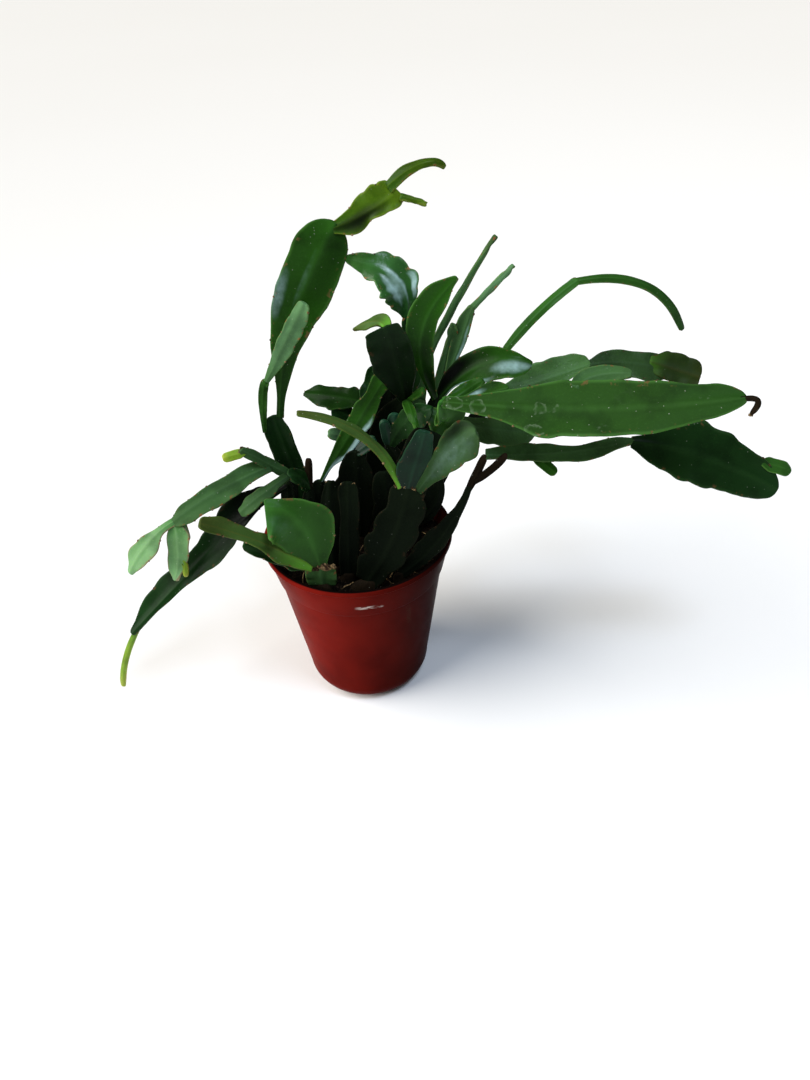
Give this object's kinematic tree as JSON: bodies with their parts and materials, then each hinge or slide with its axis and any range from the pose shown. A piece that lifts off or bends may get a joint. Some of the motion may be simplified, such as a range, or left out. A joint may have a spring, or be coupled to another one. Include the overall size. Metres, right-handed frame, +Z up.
{
  "type": "potted rhipsalis",
  "caption": "Flat-stemmed jungle cactus with chained, crenate segments that arch and trail out of a small tapered plastic nursery pot filled with soil.",
  "frame": {"origin": "centre of the pot's flat base, on the surface that the pot stands on", "axes": "+Z up; +X along the long chains that trail to the right; -Y towards the front of the plant"},
  "size_m": [0.3138, 0.0955, 0.2454],
  "materials": {
    "pot": "satin",
    "soil": "matte",
    "stem_dark": "satin",
    "stem_green": "satin",
    "stem_bright": "satin",
    "stem_grey": "satin"
  },
  "bodies": {
    "root": {"pot": "pot", "soil": "soil", "stem_front_broad": "stem_dark", "stem_front_stump": "stem_green", "stem_front_round": "stem_dark", "stem_front_brown": "stem_dark", "stem_middle_tall": "stem_dark", "stem_middle_round": "stem_dark", "stem_right_low": "stem_dark", "stem_right_long": "stem_green", "stem_right_back": "stem_dark", "stem_upper_right": "stem_bright", "stem_upper": "stem_dark", "stem_bright": "stem_bright", "stem_back_left": "stem_green", "stem_left_tall": "stem_green", "stem_left_low": "stem_grey", "stem_left_trail": "stem_green", "stem_left_curl": "stem_bright"}
  },
  "joints": []
}
